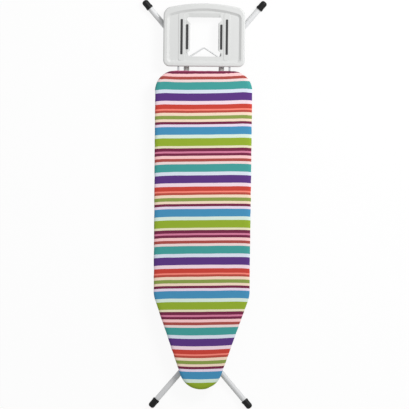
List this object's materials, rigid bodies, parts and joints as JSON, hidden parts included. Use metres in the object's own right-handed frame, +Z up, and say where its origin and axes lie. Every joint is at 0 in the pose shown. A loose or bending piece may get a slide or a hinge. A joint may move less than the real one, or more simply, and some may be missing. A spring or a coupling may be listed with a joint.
{
  "type": "ironing board",
  "caption": "Folding ironing board with a striped fabric cover, a slide-out iron rest, crossed tube legs with splayed feet and a height lever, shown folded flat.",
  "frame": {"origin": "on the floor below the folded board's cross axle, the middle of its bottom", "axes": "+Z up, the ironing face looks up; +Y from the nose to the iron rest; +X to the right"},
  "size_m": [0.4896, 1.6066, 0.0652],
  "materials": {
    "cover_fabric": "matte",
    "felt": "matte",
    "frame_paint": "satin",
    "bright_steel": "satin",
    "tray_plastic": "satin",
    "strip_rubber": "matte",
    "foot_rubber": "satin",
    "dark_nylon": "matte"
  },
  "bodies": {
    "board": {"rim_frame": "frame_paint", "mesh_top": "frame_paint", "rear_crossbar": "frame_paint", "rail_far_crossbar": "frame_paint", "rail_near_crossbar": "frame_paint", "hinge_crossbar": "frame_paint", "nose_crossbar": "frame_paint", "slide_rail": "frame_paint", "hinge_bracket_left": "frame_paint", "hinge_bracket_right": "frame_paint", "hinge_pin_left": "bright_steel", "hinge_pin_right": "bright_steel", "rod_guide_rear_left": "dark_nylon", "rod_guide_rear_right": "dark_nylon", "rod_guide_front_left": "dark_nylon", "rod_guide_front_right": "dark_nylon", "guide_screws": "bright_steel", "felt_pad": "felt", "cover": "cover_fabric"},
    "iron_rest": {"rest_tray": "tray_plastic", "rest_rod_left": "bright_steel", "rest_rod_right": "bright_steel", "heat_strip_outer_left": "strip_rubber", "heat_strip_outer_right": "strip_rubber", "heat_strip_inner_left": "strip_rubber", "heat_strip_inner_right": "strip_rubber", "v_bar": "bright_steel", "rod_clamps": "dark_nylon", "clamp_screws": "bright_steel"},
    "rear_leg": {"rear_leg_tube_left": "frame_paint", "rear_leg_tube_right": "frame_paint", "rear_leg_brace": "frame_paint", "rear_foot_left": "foot_rubber", "rear_foot_right": "foot_rubber", "rear_leg_plugs": "dark_nylon", "cross_axle": "bright_steel", "cross_spacers": "dark_nylon"},
    "nose_leg": {"nose_leg_tube_left": "frame_paint", "nose_leg_tube_right": "frame_paint", "nose_leg_brace": "frame_paint", "nose_foot_left": "foot_rubber", "nose_foot_right": "foot_rubber", "nose_leg_plugs": "dark_nylon", "slide_axle": "bright_steel"},
    "carriage": {"slide_shoe_left": "dark_nylon", "slide_shoe_right": "dark_nylon", "latch_block": "dark_nylon", "lever_pin": "bright_steel", "latch_spring": "bright_steel"},
    "lever": {"height_lever": "dark_nylon"}
  },
  "joints": [
    {"name": "leg_fold", "type": "hinge", "parent": "board", "child": "rear_leg", "pos_m": [0, -0.4, 0.014], "axis": [-1, 0, 0], "range_deg": [0, 49]},
    {"name": "leg_cross", "type": "hinge", "parent": "rear_leg", "child": "nose_leg", "pos_m": [0, 0, 0.014], "axis": [1, 0, 0], "range_deg": [0, 98]},
    {"name": "carriage_swivel", "type": "hinge", "parent": "nose_leg", "child": "carriage", "pos_m": [0, 0.4, 0.014], "axis": [-1, 0, 0], "range_deg": [0, 49]},
    {"name": "lever_squeeze", "type": "hinge", "parent": "carriage", "child": "lever", "pos_m": [0, 0.414, 0.0276], "axis": [1, 0, 0], "range_deg": [-7, 5], "stiffness_Nm_per_rad": 0.15, "springref_deg": -11.46, "deforming": ["latch_spring"]},
    {"name": "rest_slide", "type": "slide", "parent": "board", "child": "iron_rest", "axis": [0, 1, 0], "range_m": [0, 0.068]}
  ],
  "couplings": [
    {"joint": "leg_cross", "follows": "leg_fold", "ratio": 2},
    {"joint": "carriage_swivel", "follows": "leg_fold", "ratio": 1}
  ]
}
